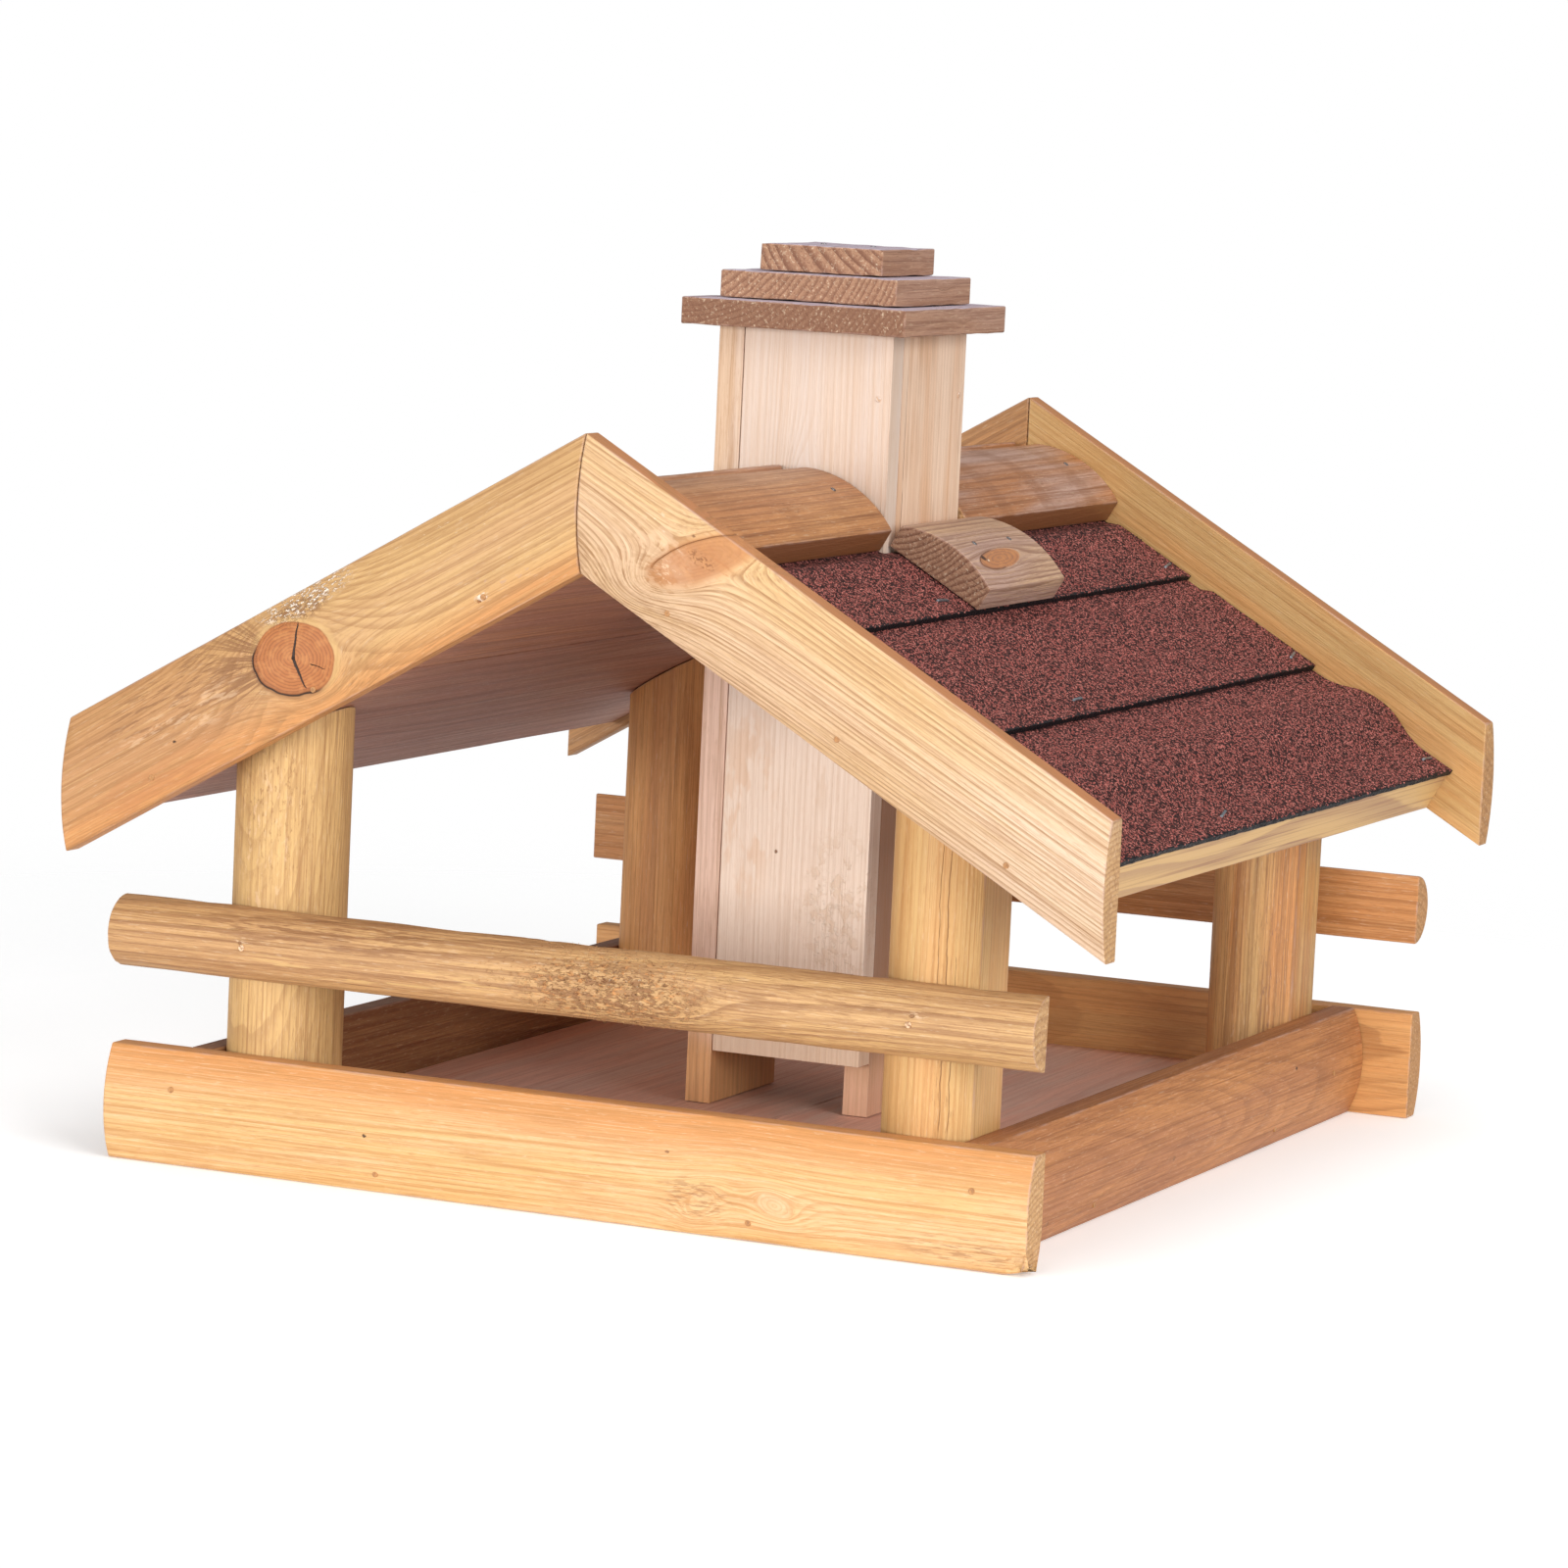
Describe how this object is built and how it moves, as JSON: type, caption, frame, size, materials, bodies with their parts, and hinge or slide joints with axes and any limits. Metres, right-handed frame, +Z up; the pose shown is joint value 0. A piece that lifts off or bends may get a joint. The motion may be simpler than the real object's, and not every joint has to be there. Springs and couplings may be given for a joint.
{
  "type": "bird feeder house",
  "caption": "Open-sided wooden bird feeder house with a rimmed tray, posts, a shingled pitched roof and a chimney-like seed silo under a stepped lift-off lid.",
  "frame": {"origin": "on the resting plane, under the middle of the roof and the tray", "axes": "+Z up, +Y to the back along the ridge, +X to the right across the gable"},
  "size_m": [0.426, 0.456, 0.3588],
  "materials": {
    "stained_pine": "honey-stained, satin",
    "cap_pine": "brown-stained, satin",
    "raw_pine": "planed, unstained",
    "lid_pine": "impregnated, sawn",
    "roof_pine": "planed, tinted",
    "floor_pine": "planed, tinted",
    "shingle": "bitumen felt with mineral granules",
    "steel": "galvanised"
  },
  "bodies": {
    "house": {"front_rim": "stained_pine", "back_rim": "stained_pine", "left_rim": "stained_pine", "right_rim": "stained_pine", "floor_board_left": "floor_pine", "floor_board_right": "floor_pine", "post_front_left": "stained_pine", "post_front_right": "stained_pine", "post_back_left": "stained_pine", "post_back_right": "stained_pine", "front_rail": "stained_pine", "back_rail": "stained_pine", "roof_board_left_upper": "roof_pine", "roof_board_left_lower": "roof_pine", "roof_board_right_upper": "roof_pine", "roof_board_right_lower": "roof_pine", "shingle_left_ridge": "shingle", "shingle_left_middle": "shingle", "shingle_left_eave": "shingle", "shingle_right_ridge": "shingle", "shingle_right_middle": "shingle", "shingle_right_eave": "shingle", "shingle_staples": "steel", "barge_front_left": "stained_pine", "barge_front_right": "stained_pine", "barge_back_left": "stained_pine", "barge_back_right": "stained_pine", "ridge_cap_front_left": "cap_pine", "ridge_cap_front_right": "cap_pine", "ridge_cap_back_left": "cap_pine", "ridge_cap_back_right": "cap_pine", "silo_block_left": "cap_pine", "silo_block_right": "cap_pine", "silo_left": "raw_pine", "silo_right": "raw_pine", "silo_front": "raw_pine", "silo_back": "raw_pine", "tray_brads": "steel", "rail_brads": "steel", "barge_brads": "steel", "cap_brads": "steel", "silo_brads": "steel"},
    "lid": {"lid_lower": "lid_pine", "lid_middle": "lid_pine", "lid_upper": "lid_pine", "lid_plug": "lid_pine", "lid_brads": "steel"}
  },
  "joints": [
    {"name": "lid_lift", "type": "slide", "parent": "house", "child": "lid", "axis": [0, 0, 1], "range_m": [0, 0.08]}
  ]
}
